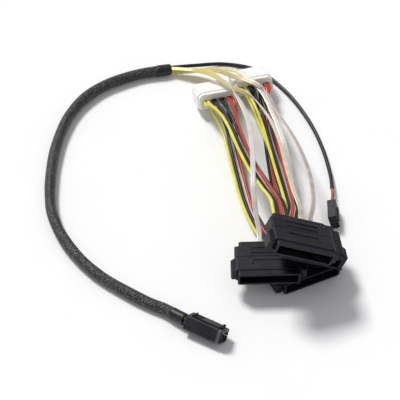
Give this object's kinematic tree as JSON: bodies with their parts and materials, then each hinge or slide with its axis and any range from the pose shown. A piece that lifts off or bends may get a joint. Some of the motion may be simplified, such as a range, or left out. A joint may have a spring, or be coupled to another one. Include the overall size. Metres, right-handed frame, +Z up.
{
  "type": "internal storage breakout cable",
  "caption": "Braided high-density storage cable that breaks out to flat data ribbons, drive connectors, power connectors and a sideband lead.",
  "frame": {"origin": "on the table, under the middle of the rigid pieces", "axes": "+Z up from the table, -Y towards the viewer of the picture, +X to the picture's right"},
  "size_m": [0.1788, 0.2418, 0.0512],
  "materials": {
    "plug_shell": "moulded shell, slightly satin",
    "card_board": "green circuit board",
    "latch_lever": "moulded lever",
    "shrink_tube": "shrunk tube, slightly satin",
    "braid": "braided monofilament sleeve",
    "connector_black": "fine moulded texture",
    "lead_black": "smooth jacket",
    "data_ribbon": "clear jacket over foil and paired conductors",
    "wire_yellow": "smooth insulation",
    "wire_red": "smooth insulation",
    "wire_black": "smooth insulation",
    "wire_copper": "thin brown, orange and red insulation",
    "nylon_white": "milky nylon",
    "pin_brass": "tinned turned pin"
  },
  "bodies": {
    "cable": {"data_ribbon_1": "data_ribbon", "data_ribbon_2": "data_ribbon", "data_ribbon_3": "data_ribbon", "data_ribbon_4": "data_ribbon", "drive_connector_1_cover": "connector_black", "drive_connector_1_housing": "connector_black", "drive_connector_2_cover": "connector_black", "drive_connector_2_housing": "connector_black", "drive_connector_3_cover": "connector_black", "drive_connector_3_housing": "connector_black", "drive_connector_4_cover": "connector_black", "drive_connector_4_housing": "connector_black", "hd_plug_lower_card": "card_board", "hd_plug_lower_shell": "plug_shell", "hd_plug_upper_card": "card_board", "hd_plug_upper_shell": "plug_shell", "power_housing_1": "nylon_white", "power_housing_2": "nylon_white", "power_pin_1_1": "pin_brass", "power_pin_1_2": "pin_brass", "power_pin_1_3": "pin_brass", "power_pin_1_4": "pin_brass", "power_pin_2_1": "pin_brass", "power_pin_2_2": "pin_brass", "power_pin_2_3": "pin_brass", "power_pin_2_4": "pin_brass", "power_wire_1_black_a": "wire_black", "power_wire_1_black_b": "wire_black", "power_wire_1_red": "wire_red", "power_wire_1_yellow": "wire_yellow", "power_wire_2_black_a": "wire_black", "power_wire_2_black_b": "wire_black", "power_wire_2_red": "wire_red", "power_wire_2_yellow": "wire_yellow", "power_wire_3_black_a": "wire_black", "power_wire_3_black_b": "wire_black", "power_wire_3_red": "wire_red", "power_wire_3_yellow": "wire_yellow", "power_wire_4_black_a": "wire_black", "power_wire_4_black_b": "wire_black", "power_wire_4_red": "wire_red", "power_wire_4_yellow": "wire_yellow", "sideband_cable": "lead_black", "sideband_housing": "connector_black", "sideband_wire_1": "wire_copper", "sideband_wire_2": "wire_copper", "sideband_wire_3": "wire_copper", "trunk_breakout_shrink": "shrink_tube", "trunk_plug_shrink": "shrink_tube", "trunk_sleeve": "braid"},
    "latch": {"hd_plug_latch": "latch_lever"}
  },
  "joints": [
    {"name": "latch_press", "type": "hinge", "parent": "cable", "child": "latch", "pos_m": [-0.02286, -0.10607, 0.00978], "axis": [-0.4368, -0.7269, 0.5299], "range_deg": [0, 4], "stiffness_Nm_per_rad": 0.5}
  ]
}
